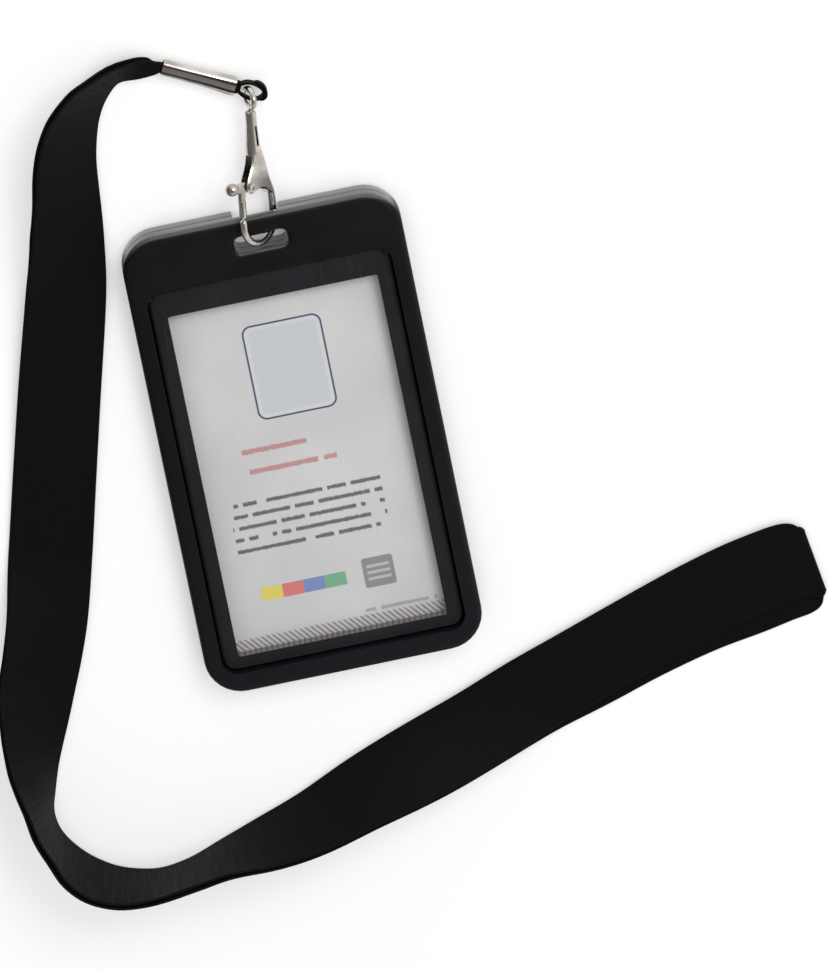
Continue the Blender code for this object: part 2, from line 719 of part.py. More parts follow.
def make_swivel_eye(finish, parent):
    """The wire eye with the stem that turns in the barrel."""
    centre = (eye_base_height + eye_top_height) / 2
    half_length = (eye_top_height - eye_base_height) / 2
    path = []
    for i in range(2 * arc_steps):
        angle = math.pi * i / arc_steps
        path.append(Vector((eye_half_width * math.cos(angle), centre + half_length * math.sin(angle), 0)))
    eye = tube("swivel_eye", path, [eye_wire_radius] * len(path), rod_sides, Vector((0, 0, 1)), parent, closed=True)
    join(eye, turned("stem", [(stem_head_radius, stem_head_low), (stem_head_radius, stem_head_high),
                              (stem_radius, stem_head_high), (stem_radius, eye_base_height)], parent))
    eye.data.materials.append(finish)


def make_ferrule(finish):
    """The crimped tube, open at both ends and pinched in its middle."""
    axis = ferrule_end - ferrule_start
    across = Vector((0, 0, 1)).cross(axis).normalized()
    outer, inner = [], []
    for share in (0.0, 0.06, 0.3, 0.5, 0.7, 0.94, 1.0):
        centre = ferrule_start + share * axis
        width = ferrule_start_width + share * (ferrule_end_width - ferrule_start_width)
        pinch = ferrule_pinch * math.sin(math.pi * share) ** 2
        rim = ferrule_wall / 3 if share in (0.0, 1.0) else 0
        for loops, wall in ((outer, rim), (inner, ferrule_wall)):
            section = rounded_outline(width - 2 * wall - pinch, ferrule_height - 2 * wall - 2 * pinch,
                                      ferrule_corner_radius - wall)
            loops.append([centre + a * across + b * Vector((0, 0, 1)) for a, b in section])
    ferrule = skin("crimp_ferrule", outer + inner[::-1], closed=True)
    ferrule.data.materials.append(finish)


def ribbon_stations():
    """Both runs of the ribbon: out on top, over the far fold, and back below."""
    rows = smooth_rows(ribbon_route, route_steps)
    upper, lower = [], []
    for i, (x, y, lean, share, lift, spread) in enumerate(rows):
        before, after = rows[max(i - 1, 0)], rows[min(i + 1, len(rows) - 1)]
        travel = Vector((after[0] - before[0], after[1] - before[1], 0)).normalized()
        outward = Vector((travel.y, -travel.x, 0))
        if i == len(rows) - 1:
            outward = (Vector(far_fold_outer) - Vector(far_fold_inner)).normalized().to_3d()
            travel = Vector((-outward.y, outward.x, 0))
        slope = math.radians(max(lean, 0))
        across = math.cos(slope) * outward + math.sin(slope) * Vector((0, 0, 1))
        width = share * ribbon_width
        edge = Vector((x * mm, y * mm, max(lift, 0) * mm + ribbon_rest_gap + ribbon_thickness / 2))
        normal = across.cross(travel)
        lower.append((edge + across * (width / 2 + spread * mm), -travel, across, width))
        upper.append((edge + across * width / 2 + normal * ribbon_stack, travel, across, width))
    return upper + far_fold(upper[-1], lower[-1]) + lower[::-1]


def far_fold(last, first):
    """The half turn from the upper run down to the lower one."""
    centre = (last[0] + first[0]) / 2
    radius = (last[0] - first[0]).length / 2
    up, ahead = (last[0] - first[0]).normalized(), last[1]
    turn = []
    for step in range(1, edge_steps + 1):
        angle = math.pi * step / (edge_steps + 1)
        turn.append((centre + radius * (math.cos(angle) * up + math.sin(angle) * ahead),
                     math.cos(angle) * ahead - math.sin(angle) * up, last[2], last[3]))
    return turn


def make_ribbon(finish):
    ribbon = strap("neck_ribbon", ribbon_stations(), ribbon_thickness)
    ribbon.data.materials.append(finish)


def make_end_loop(finish):
    """The gathered loop from the ferrule through the eye and back."""
    along = (ferrule_end - ferrule_start).normalized()
    across = Vector((0, 0, 1)).cross(along).normalized()
    rows = smooth_rows(end_loop_route, route_steps)
    centres = [ferrule_end + (s * along + side * across + Vector((0, 0, rise))) * mm for s, side, rise, _ in rows]
    stations = []
    for i, row in enumerate(rows):
        travel = centres[min(i + 1, len(rows) - 1)] - centres[max(i - 1, 0)]
        travel.z = 0
        stations.append((centres[i], travel.normalized(), Vector((0, 0, 1)), row[3] * mm))
    loop = strap("ribbon_end_loop", stations, ribbon_thickness)
    loop.data.materials.append(finish)


def main():
    for thing in list(bpy.data.objects):
        bpy.data.objects.remove(thing, do_unlink=True)
    black = material("case_black", (0.012, 0.012, 0.013), 0.42)
    door_black = material("door_black", (0.016, 0.015, 0.022), 0.3)
    clear = material("clear_sheet", (0.9, 0.92, 0.95), 0.05, alpha=0.3)
    paper = material("insert_paper", (0.62, 0.63, 0.65), 0.7)
    cloth = material("ribbon_black", (0.01, 0.01, 0.011), 0.85)
    steel = material("nickel", (0.62, 0.58, 0.53), 0.22, 1.0)
    make_front_shell(black)
    make_rear_shell(black)
    make_door(door_black, clear)
    make_inner_sheets(clear, paper)
    lean = Matrix.Rotation(-hook_lean, 4, "Z") @ Matrix.Rotation(-hook_pitch, 4, "X")
    axis = empty("swivel_axis", Matrix.Translation(bar_axis) @ lean)
    hook = empty("hook_plane", Matrix.Rotation(hook_twist, 4, "Y"), axis)
    eye = empty("eye_plane", Matrix.Rotation(eye_twist, 4, "Y"), axis)
    make_hook_body(steel, hook)
    make_trigger(steel, steel, hook)
    make_spring(steel, hook)
    make_swivel_eye(steel, eye)
    make_ferrule(steel)
    make_ribbon(cloth)
    make_end_loop(cloth)


main()
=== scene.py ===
import json
import math

import bmesh
import bpy
from mathutils import Matrix, Vector, noise

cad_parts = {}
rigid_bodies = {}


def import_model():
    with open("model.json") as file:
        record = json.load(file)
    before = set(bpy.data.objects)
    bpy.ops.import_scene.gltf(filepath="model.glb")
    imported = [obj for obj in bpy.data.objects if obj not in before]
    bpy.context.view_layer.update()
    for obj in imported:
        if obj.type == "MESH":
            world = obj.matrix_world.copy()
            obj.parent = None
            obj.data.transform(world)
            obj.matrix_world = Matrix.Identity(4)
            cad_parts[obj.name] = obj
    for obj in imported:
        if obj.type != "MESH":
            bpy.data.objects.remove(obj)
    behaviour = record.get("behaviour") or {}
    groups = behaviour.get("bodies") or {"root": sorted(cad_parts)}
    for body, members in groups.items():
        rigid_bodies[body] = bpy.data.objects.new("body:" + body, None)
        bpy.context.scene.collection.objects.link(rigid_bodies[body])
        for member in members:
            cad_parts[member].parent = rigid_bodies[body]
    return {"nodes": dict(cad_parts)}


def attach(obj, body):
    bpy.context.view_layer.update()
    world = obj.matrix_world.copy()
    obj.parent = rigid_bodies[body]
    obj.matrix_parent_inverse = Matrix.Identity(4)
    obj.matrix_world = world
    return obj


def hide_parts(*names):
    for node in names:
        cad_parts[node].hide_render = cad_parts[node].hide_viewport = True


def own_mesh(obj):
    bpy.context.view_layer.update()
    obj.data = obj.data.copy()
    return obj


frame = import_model()
cadNodes = frame["nodes"]
for thing in list(bpy.data.objects):  # anything a new file opens with
    if thing.type in ("CAMERA", "LIGHT") or (thing.type == "MESH" and thing.name not in cadNodes):
        bpy.data.objects.remove(thing)
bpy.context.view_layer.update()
scene = bpy.context.scene
mm = 0.001

# Camera: a long lens, so that the picture is nearly parallel
cameraSettings = {
    "azimuth": 0.0857, "elevation": 70.4506, "roll": -11.6531,  # degrees
    "pixelsPerMm": 4.16267, "tallSide": 969, "offset": (-27.1211, 12.3536),  # mm from the picture's middle
    "distance": 6.0, "clipStart": 1.0, "clipEnd": 30.0,  # metres
    "sensor": 36.0,  # mm
}


def makeCamera(s):
    a, e, r = (math.radians(s[key]) for key in ("azimuth", "elevation", "roll"))
    ahead = -Vector((math.sin(a) * math.cos(e), math.cos(a) * math.cos(e), math.sin(e)))
    right = ahead.cross(Vector((0, 1, 0))).normalized()
    up = right.cross(ahead)
    across = math.cos(r) * right + math.sin(r) * up
    above = math.cos(r) * up - math.sin(r) * right
    middle = -(s["offset"][0] * across + s["offset"][1] * above) * mm
    data = bpy.data.cameras.new("photoCamera")
    data.sensor_width = s["sensor"]
    data.lens = s["sensor"] * s["distance"] / (s["tallSide"] / s["pixelsPerMm"] * mm)
    data.clip_start, data.clip_end = s["clipStart"], s["clipEnd"]
    camera = bpy.data.objects.new("photoCamera", data)
    scene.collection.objects.link(camera)
    camera.matrix_world = (Matrix.Translation(middle - ahead * s["distance"])
                           @ Matrix((across, above, -ahead)).transposed().to_4x4())
    scene.camera = camera


makeCamera(cameraSettings)
print("camera placed")

# The ribbon's route: x and y in mm, lean in degrees, share of the width, lift and spread of the runs in mm
ribbonRoute = (
    (-14.4, 97.1, 0, 0.12, 1.43, 0), (-15.3, 97.6, 0, 0.12, 1.42, 0), (-17.2, 97.4, 8, 0.21, 1.3, 0),
    (-20.7, 97.5, 28, 0.31, 0.85, 0), (-25.9, 97.7, 50, 0.44, 0.3, 0), (-29.7, 94.4, 51, 0.77, 0, 0),
    (-32.2, 90.4, 47.5, 0.92, 0, 0), (-33.9, 85.8, 45, 1, 0, 0), (-35.4, 79.2, 41, 1, 0, 0),
    (-36.1, 72.0, 37, 1, 0, 0), (-36.6, 64.8, 30, 1, 0, 0), (-37.3, 58.0, 25, 1, 0, 0),
    (-38.5, 48.7, 16, 1, 0, 0), (-40.7, 38.5, 11, 1, 0, 0), (-45.6, 18.9, 4, 1, 0, 0),
    (-51.0, -2.9, 0, 1, 0, 0.1), (-55.4, -20.5, 0, 1, 0, 0.2), (-59.3, -34.2, 10, 1, 0, 0),
    (-63.0, -44.3, 16, 1, 0, 0), (-66.4, -52.3, 20, 1, 0, 0), (-69.2, -58.5, 29, 1, 0, 0),
    (-71.9, -64.1, 40.5, 1, 0, 0), (-74.4, -69.6, 52.5, 1, 0, 0), (-76.6, -75.5, 66, 1, 0, 0),
    (-78.2, -81.3, 76, 1, 0, 0), (-77.5, -86.8, 80.5, 1, 0, 0), (-74.8, -91.6, 78, 1, 0, 0),
    (-70.8, -96.0, 77.5, 1, 0, 0), (-65.7, -99.7, 81, 1, 0, 0), (-60.0, -102.0, 86, 1, 0, 0),
    (-53.9, -103.0, 90, 1, 0, 0), (-46.6, -101.8, 89.5, 1, 0, 0), (-38.4, -98.7, 83.5, 1, 0, 0),
    (-28.5, -94.9, 70, 1, 0, 0), (-17.5, -90.6, 58.5, 1, 0, 0), (-4.5, -84.3, 44.5, 1, 0, 0),
    (9.0, -78.7, 30, 1, 0, 0.2), (23.9, -73.1, 14, 1, 0, 0.2), (37.7, -67.5, 3, 1, 0, 1.3),
    (52.1, -62.5, 0, 1, 0, 2.3), (66.3, -57.6, 0, 1, 0, 2.7), (80.7, -52.8, 0, 1, 0, 3.8),
    (92.8, -49.4, 0, 1, 0, 5), (102.9, -47.4, 0, 1, 0, 5), (108.2, -46.8, 0, 1, 0, 4.7),
    (111.2, -47.4, 0, 0.99, 0, 2.8), (112.9, -48.8, 0, 0.925, 0, 0),
)
ribbonSettings = {
    "width": 20.0, "thickness": 0.6, "stack": 1.2, "restGap": 0.12,  # mm
    "foldInner": (112.9, -48.8), "foldOuter": (115.7, -67.9), "foldSteps": 6, "foldNarrower": 1.5,
    "endFrom": 100.0, "endBlend": 6.0,  # where the band turns square to the fold, in mm along x
    "routeSteps": 5, "acrossSteps": 12, "sideAngles": (0.9, 0.0, -0.9), "roundingShare": 0.5,
    "selvageWidth": 1.3, "selvageRise": 0.05, "selvageSlopeShare": 0.4, "sharpAngle": 50.0,
    "creaseHeight": 0.09, "creaseAlong": 16.0, "creaseAcross": 7.0, "creasePlace": 3.1, "creaseFade": 8,
    "outLength": 0.42, "backLength": 0.42,  # metres, from the ferrule to the far fold
}

# The gathered loop: along the ferrule from its end, across it, above its centre line, and width, in mm
loopRoute = (
    (-1.2, 0.45, 0, 2), (0.3, 0.6, 0.2, 2.1), (1.2, 1.45, 0.8, 2.5), (2.2, 2.2, 1.3, 2.8),
    (3.6, 2.45, 1.4, 2.8), (5.2, 2.15, 1.3, 2.8), (6.5, 1.4, 1.1, 2.8), (6.95, 0.4, 1.1, 2.8),
    (6.4, -0.55, 1.4, 2.7), (5.2, -1.1, 1.8, 2.5), (3.7, -1.2, 2, 2.3), (2.2, -1.15, 1.4, 2.2),
    (1, -0.8, 0.4, 2.2), (0.2, -0.5, 0.1, 2.1), (-1.2, -0.45, 0, 2),
)
ferruleSettings = {
    "start": (-14.75, 98.67, 2.3), "end": (1.36, 90.17, 2.3),
    # Two dark lengthwise lines: across from the middle, half width, tone and strength
    "darkLines": ((0.95, 0.24, (0.1, 0.06, 0.05, 1), 0.85), (-0.95, 0.22, (0.04, 0.032, 0.03, 1), 0.9)),
    "darkLineCorner": 0.01, "darkLineSoft": 0.2,
}


# Even steps along a smooth curve through the rows.
def smoothRows(rows, steps):
    result = []
    for i in range(len(rows) - 1):
        p0, p1, p2 = rows[max(i - 1, 0)], rows[i], rows[i + 1]
        p3 = rows[min(i + 2, len(rows) - 1)]
        for step in range(steps):
            t = step / steps
            result.append(tuple(
                0.5 * (2 * b + (c - a) * t + (2 * a - 5 * b + 4 * c - d) * t * t
                       + (3 * b - a - 3 * c + d) * t ** 3)
                for a, b, c, d in zip(p0, p1, p2, p3)))
    result.append(tuple(rows[-1]))
    return result


# Stations of the out run, with the far fold, and of the back run below it: centre, travel, across, width.
def ribbonRuns(s):
    rows = smoothRows(ribbonRoute, s["routeSteps"])
    foldOutward = (Vector(s["foldOuter"]) - Vector(s["foldInner"])).normalized().to_3d()
    upper, lower = [], []
    for i, (x, y, lean, share, lift, spread) in enumerate(rows):
        before, after = rows[max(i - 1, 0)], rows[min(i + 1, len(rows) - 1)]
        travel = Vector((after[0] - before[0], after[1] - before[1], 0)).normalized()
        outward = Vector((travel.y, -travel.x, 0))
        outward = outward.lerp(foldOutward, min(1, max(0, (x - s["endFrom"]) / s["endBlend"]))).normalized()
        travel = Vector((-outward.y, outward.x, 0))
        slope = math.radians(max(lean, 0))
        across = math.cos(slope) * outward + math.sin(slope) * Vector((0, 0, 1))
        width = share * s["width"]
        edge = Vector((x, y, max(lift, 0) + s["restGap"] + s["thickness"] / 2))
        lower.append((edge + across * (width / 2 + spread), travel, across, width))
        upper.append((edge + across * width / 2 + across.cross(travel) * s["stack"], travel, across, width))
    last, first = upper[-1], lower[-1]
    middle, radius = (last[0] + first[0]) / 2, (last[0] - first[0]).length / 2
    up, ahead = (last[0] - first[0]).normalized(), last[1]
    for step in range(1, s["foldSteps"] + 1):
        turn = math.pi * step / s["foldSteps"]
        upper.append((middle + radius * (math.cos(turn) * up + math.sin(turn) * ahead),
                      math.cos(turn) * ahead - math.sin(turn) * up, last[2],
                      last[3] - s["foldNarrower"] * math.sin(turn)))
    return upper, lower


# The band's section as points across and above its middle, with rounded and slightly thicker borders.
def strapSection(width, thickness, s):
    half, thick, steps = width / 2, thickness / 2, s["acrossSteps"]
    rounding = min(thick, half * s["roundingShare"])
    slope = s["selvageSlopeShare"] * s["selvageWidth"]
    top = []
    for i in range(steps + 1):
        u = (half - rounding) * math.sin(math.pi * (i / steps - 0.5))
        rise = s["selvageRise"] * min(1, max(0, (abs(u) - half + s["selvageWidth"]) / slope))
        top.append((u, thick + rise))
    side = [(half - rounding * (1 - math.cos(a)), thick * math.sin(a)) for a in s["sideAngles"]]
    bottom = [(u, -v) for u, v in reversed(top)]
    return top + side + bottom + [(-u, v) for u, v in reversed(side)]


# A woven band through the stations; its map holds millimetres across and along for the weave.
def addStrap(build, weave, stations, s):
    rings, places, run = [], [], 0.0
    for i, (centre, travel, across, width, *thickness) in enumerate(stations):
        if i:
            run += (centre - stations[i - 1][0]).length
        normal = across.cross(travel).normalized()
        section = strapSection(width, thickness[0] if thickness else s["thickness"], s)
        fade = s["creaseHeight"] * min(1, i / s["creaseFade"], (len(stations) - 1 - i) / s["creaseFade"])
        ring = []
        for u, v in section:
            place = Vector((run / s["creaseAlong"], u / s["creaseAcross"], s["creasePlace"]))
            wave = noise.noise(place) * fade
            ring.append(build.verts.new((centre + across * u + normal * (v + wave)) * mm))
        rings.append(ring)
        places.append([(u, run) for u, _ in section])
    count = len(rings[0])
    for i in range(len(rings) - 1):
        for j in range(count):
            k = (j + 1) % count
            face = build.faces.new((rings[i][j], rings[i][k], rings[i + 1][k], rings[i + 1][j]))
            corners = (places[i][j], places[i][k], places[i + 1][k], places[i + 1][j])
            for loop, corner in zip(face.loops, corners):
                loop[weave].uv = corner
    build.faces.new(list(reversed(rings[0])))
    build.faces.new(rings[-1])


# One piece of one or more bands, each with its own settings.
def strapPiece(name, bands, material):
    build = bmesh.new()
    weave = build.loops.layers.uv.new("weave")
    for stations, s in bands:
        addStrap(build, weave, stations, s)
    bmesh.ops.recalc_face_normals(build, faces=build.faces)
    mesh = bpy.data.meshes.new(name)
    build.to_mesh(mesh)
    build.free()
    mesh.shade_smooth()
    mesh.set_sharp_from_angle(angle=math.radians(ribbonSettings["sharpAngle"]))
    mesh.materials.append(material)
    piece = bpy.data.objects.new(name, mesh)
    scene.collection.objects.link(piece)
    return piece


# Shader helpers
def put(tree, kind, values=None, **settings):
    node = tree.nodes.new(kind)
    for key, value in settings.items():
        setattr(node, key, value)
    for key, value in (values or {}).items():
        if isinstance(value, bpy.types.NodeSocket):
            tree.links.new(value, node.inputs[key])
        else:
            node.inputs[key].default_value = value
    return node


def calc(tree, operation, *values):
    return put(tree, "ShaderNodeMath", dict(enumerate(values)), operation=operation).outputs[0]


def vectorCalc(tree, operation, *values):
    return put(tree, "ShaderNodeVectorMath", dict(enumerate(values)), operation=operation)


def ramp(tree, value, low, high, toLow=0.0, toHigh=1.0):
    values = {"Value": value, "From Min": low, "From Max": high, "To Min": toLow, "To Max": toHigh}
    return put(tree, "ShaderNodeMapRange", values, interpolation_type="SMOOTHSTEP").outputs[0]


def axes(tree, place):
    return put(tree, "ShaderNodeSeparateXYZ", {0: place}).outputs


def mixColor(tree, factor, one, two):
    return put(tree, "ShaderNodeMix", {0: factor, 6: one, 7: two}, data_type="RGBA").outputs[2]


def newGroup(name, inputs, outputs):
    group = bpy.data.node_groups.new(name, "ShaderNodeTree")
    for label, kind, value in inputs:
        socket = group.interface.new_socket(name=label, in_out="INPUT", socket_type=kind)
        if value is not None:
            socket.default_value = value
    for label, kind in outputs:
        group.interface.new_socket(name=label, in_out="OUTPUT", socket_type=kind)
    return group, group.nodes.new("NodeGroupInput").outputs, group.nodes.new("NodeGroupOutput").inputs


def fillGroup(tree, group, values):
    node = tree.nodes.new("ShaderNodeGroup")
    node.node_tree = group
    for key, value in values.items():
        if isinstance(value, bpy.types.NodeSocket):
            tree.links.new(value, node.inputs[key])
        else:
            node.inputs[key].default_value = value
    return node


floatSocket, vectorSocket = "NodeSocketFloat", "NodeSocketVector"


# Fine moulded or rubbed grain with a slow unevenness under it.
def makeGrainGroup():
    group, given, result = newGroup(
        "surfaceGrain",
        [("Place", vectorSocket, None), ("Fine Scale", floatSocket, 3000.0),
         ("Slow Scale", floatSocket, 60.0)],
        [("Height", floatSocket), ("Uneven", floatSocket)])
    for scale, detail, output in (("Fine Scale", 2.0, "Height"), ("Slow Scale", 4.0, "Uneven")):
        pattern = put(group, "ShaderNodeTexNoise",
                      {"Vector": given["Place"], "Scale": given[scale], "Detail": detail})
        group.links.new(pattern.outputs[0], result[output])
    return group


scratchLook = {
    "runs": ((0.5, 2600.0), (-0.9, 2100.0)),  # direction in radians and scale
    "longer": 40, "deeper": 6, "none": 0.66, "full": 0.74,
}


# Hairline scratches that run in two directions.
def makeScratchGroup(s):
    group, given, result = newGroup(
        "hairScratches",
        [("Place", vectorSocket, None), ("Amount", floatSocket, 0.3)],
        [("Mask", floatSocket)])
    masks = []
    for angle, scale in s["runs"]:
        stretch = (scale, scale / s["longer"], scale / s["deeper"])
        turned = put(group, "ShaderNodeMapping",
                     {"Vector": given["Place"], "Rotation": (0.0, 0.0, angle), "Scale": stretch})
        streak = put(group, "ShaderNodeTexNoise", {"Vector": turned.outputs[0], "Scale": 1.0, "Detail": 2.0})
        masks.append(ramp(group, streak.outputs[0], s["none"], s["full"]))
    both = calc(group, "MAXIMUM", *masks)
    group.links.new(calc(group, "MULTIPLY", both, given["Amount"]), result["Mask"])
    return group


edgeLook = {
    "radius": 0.0003,  # metres
    "unmarkedEdge": 0.995, "wornAndLitEdge": 0.86,  # how far the two normals agree
    "patchScale": 260.0, "patchFrom": 0.35, "patchTo": 0.65, "patchLeast": 0.35,
}


# Where an edge is rubbed and carries a painted highlight: the bevelled normal turns away from the plain one.
def makeEdgeGroup(s):
    group, given, result = newGroup(
        "edgeWearAndSheenMask",
        [("Place", vectorSocket, None), ("Radius", floatSocket, s["radius"]), ("Amount", floatSocket, 1.0)],
        [("Mask", floatSocket)])
    bevel = put(group, "ShaderNodeBevel", {"Radius": given["Radius"]}, samples=4)
    plain = put(group, "ShaderNodeNewGeometry")
    agree = vectorCalc(group, "DOT_PRODUCT", bevel.outputs[0], plain.outputs["Normal"]).outputs[1]
    turned = ramp(group, agree, s["unmarkedEdge"], s["wornAndLitEdge"])
    patch = put(group, "ShaderNodeTexNoise",
                {"Vector": given["Place"], "Scale": s["patchScale"], "Detail": 3.0})
    patchy = ramp(group, patch.outputs[0], s["patchFrom"], s["patchTo"], s["patchLeast"], 1.0)
    wornAndLitEdge = calc(group, "MULTIPLY", turned, patchy)
    group.links.new(calc(group, "MULTIPLY", wornAndLitEdge, given["Amount"]), result["Mask"])
    return group


# A rounded rectangle in x and y, soft at its border.
def makeBoxGroup():
    group, given, result = newGroup(
        "printedBox",
        [("Place", vectorSocket, None), ("Middle", vectorSocket, None), ("Half", vectorSocket, None),
         ("Corner", floatSocket, 0.0001), ("Soft", floatSocket, 0.0001)],
        [("Mask", floatSocket)])
    offset = vectorCalc(group, "SUBTRACT", given["Place"], given["Middle"]).outputs[0]
    flat = vectorCalc(group, "MULTIPLY", offset, (1, 1, 0)).outputs[0]
    size = vectorCalc(group, "ABSOLUTE", flat).outputs[0]
    corner = put(group, "ShaderNodeCombineXYZ", {0: given["Corner"], 1: given["Corner"]}).outputs[0]
    inner = vectorCalc(group, "SUBTRACT", given["Half"], corner).outputs[0]
    over = vectorCalc(group, "SUBTRACT", size, inner).outputs[0]
    beyond = vectorCalc(group, "MAXIMUM", over, (0, 0, 0)).outputs[0]
    reach = calc(group, "SUBTRACT", vectorCalc(group, "LENGTH", beyond).outputs[1], given["Corner"])
    group.links.new(ramp(group, reach, given["Soft"], 0.0), result["Mask"])
    return group


hatchLook = {
    "high": -0.0484, "fade": 0.0008, "pitch": 0.00135,  # metres
    "slant": 0.8, "wobble": 1.6, "wobbleScale": 900.0, "strokeFrom": -0.1, "strokeTo": 0.7,
    "ink": (0.14, 0.1, 0.1, 1), "light": (0.34, 0.31, 0.31, 1),
}


# Slanting strokes along the window's lower border, and the strip that they fill.
def makeHatchGroup(s):
    group, given, result = newGroup("borderHatch", [("Place", vectorSocket, None)],
                                    [("Stroke", floatSocket), ("Strip", floatSocket)])
    x, y, _ = axes(group, given["Place"])
    lean = calc(group, "MULTIPLY_ADD", y, s["slant"], x)
    wave = calc(group, "SINE", calc(group, "MULTIPLY", lean, 2 * math.pi / s["pitch"]))
    rough = put(group, "ShaderNodeTexNoise",
                {"Vector": given["Place"], "Scale": s["wobbleScale"], "Detail": 2.0}).outputs[0]
    wobble = calc(group, "MULTIPLY", calc(group, "SUBTRACT", rough, 0.5), s["wobble"])
    stroke = ramp(group, calc(group, "ADD", wave, wobble), s["strokeFrom"], s["strokeTo"])
    group.links.new(stroke, result["Stroke"])
    group.links.new(ramp(group, y, s["high"] + s["fade"], s["high"]), result["Strip"])
    return group


weaveLook = {"warp": 0.42, "weft": 0.36, "rowStretch": 0.05, "rowScale": 1.3}  # thread pitches in mm


# A plain weave in millimetres across and along: how high a thread stands, and how the rows vary.
def makeWeaveGroup(s):
    group, given, result = newGroup(
        "plainWeave",
        [("Place", vectorSocket, None), ("Warp", floatSocket, s["warp"]), ("Weft", floatSocket, s["weft"])],
        [("Height", floatSocket), ("Rows", floatSocket)])
    across, along, _ = axes(group, given["Place"])
    threads = []
    for place, pitch in ((across, given["Warp"]), (along, given["Weft"])):
        count = calc(group, "DIVIDE", place, pitch)
        threads.append(calc(group, "SINE", calc(group, "MULTIPLY", count, math.pi)))
    height = calc(group, "MULTIPLY_ADD", calc(group, "MULTIPLY", *threads), 0.5, 0.5)
    stretched = calc(group, "MULTIPLY", across, s["rowStretch"])
    rowPlace = put(group, "ShaderNodeCombineXYZ", {0: stretched, 1: along}).outputs[0]
    rows = put(group, "ShaderNodeTexNoise", {"Vector": rowPlace, "Scale": s["rowScale"], "Detail": 3.0})
    group.links.new(height, result["Height"])
    group.links.new(rows.outputs[0], result["Rows"])
    return group


grainGroup, scratchGroup, edgeGroup = makeGrainGroup(), makeScratchGroup(scratchLook), makeEdgeGroup(edgeLook)
boxGroup, weaveGroup, hatchGroup = makeBoxGroup(), makeWeaveGroup(weaveLook), makeHatchGroup(hatchLook)
noiseLow, noiseHigh = 0.3, 0.7  # most of a noise pattern lies between these


# A material with its Principled shader, its place in metres and the plain values on the shader's own sockets.
def newMaterial(name, plain):
    material = bpy.data.materials.new(name)
    material.use_nodes = True
    tree = material.node_tree
    shader = tree.nodes["Principled BSDF"]
    for key, value in plain.items():
        shader.inputs[key].default_value = value
    place = put(tree, "ShaderNodeTexCoord").outputs
    return material, tree, shader, place


def addBump(tree, shader, height, distance, strength):
    bump = put(tree, "ShaderNodeBump", {"Height": height, "Distance": distance, "Strength": strength})
    tree.links.new(bump.outputs[0], shader.inputs["Normal"])


def addRoughness(tree, shader, pattern, s):
    rough = ramp(tree, pattern, noiseLow, noiseHigh, s["roughLow"], s["roughHigh"])
    tree.links.new(rough, shader.inputs["Roughness"])


caseLook = {
    "base": (0.0038, 0.0038, 0.0042, 1), "edgeWearAndSheen": (0.016, 0.016, 0.018, 1), "edgeWearAndSheenAmount": 0.8,
    "low": (0.0068, 0.0064, 0.0092, 1), "litLowerFrom": 0.02, "litLowerTo": -0.06,  # painted light: the lower end lighter and bluer, metres
    # The wall colour is a painted sheen: a pale tone that stands in for light reflected by the header walls
    # facing +y.
    "wall": (0.07, 0.07, 0.068, 1), "wallCoat": 1.0, "wallFrom": 0.35, "wallTo": 0.7,
    "sheenHeaderFrom": 0.046, "sheenHeaderTo": 0.049,  # metres; the header walls above these heights carry the painted sheen
    "plain": {"IOR": 1.5, "Coat Roughness": 0.12, "Specular IOR Level": 0.15},
    "roughLow": 0.42, "roughHigh": 0.56, "grainScale": 4200.0, "grain": 0.00003, "grainStrength": 0.35,
}


# Fine matt black; the header's cut walls are smooth, with a coat, and their base colour carries a painted
# pale sheen where they face +y.
def makeCaseMaterial(s):
    material, tree, shader, place = newMaterial("caseBlack", s["plain"])
    grain = fillGroup(tree, grainGroup, {"Place": place["Object"], "Fine Scale": s["grainScale"]})
    edge = fillGroup(tree, edgeGroup, {"Place": place["Object"], "Amount": s["edgeWearAndSheenAmount"]})
    # Painted sheen: header walls facing +y take a pale base colour in place of reflected light.
    sheenFacing = ramp(tree, axes(tree, place["Normal"])[1], s["wallFrom"], s["wallTo"])
    y = axes(tree, place["Object"])[1]
    wall = calc(tree, "MULTIPLY", sheenFacing, ramp(tree, y, s["sheenHeaderFrom"], s["sheenHeaderTo"]))
    # Painted light: the case turns lighter and bluer towards its lower end.
    color = mixColor(tree, ramp(tree, y, s["litLowerFrom"], s["litLowerTo"]), s["base"], s["low"])
    # Painted highlight along the edges, patchy like wear: a lighter tone where the edge mask is high.
    color = mixColor(tree, edge.outputs["Mask"], color, s["edgeWearAndSheen"])
    tree.links.new(mixColor(tree, wall, color, s["wall"]), shader.inputs["Base Color"])
    tree.links.new(calc(tree, "MULTIPLY", wall, s["wallCoat"]), shader.inputs["Coat Weight"])
    addRoughness(tree, shader, grain.outputs["Uneven"], s)
    addBump(tree, shader, grain.outputs["Height"], s["grain"], s["grainStrength"])
    return material


doorLook = {
    "base": (0.0045, 0.004, 0.005, 1), "edgeWearAndSheen": (0.02, 0.018, 0.024, 1), "edgeWearAndSheenAmount": 0.7,
    "violet": (0.0075, 0.006, 0.0095, 1), "violetFrom": 0.35, "violetTo": 0.65, "unevenScale": 34.0,
    "plain": {"IOR": 1.5, "Specular IOR Level": 0.22}, "roughLow": 0.3, "roughHigh": 0.42,
    "wallFrom": 0.5, "wallTo": 0.8, "strokeShare": 0.6, "grain": 0.00002, "grainStrength": 0.3,
}


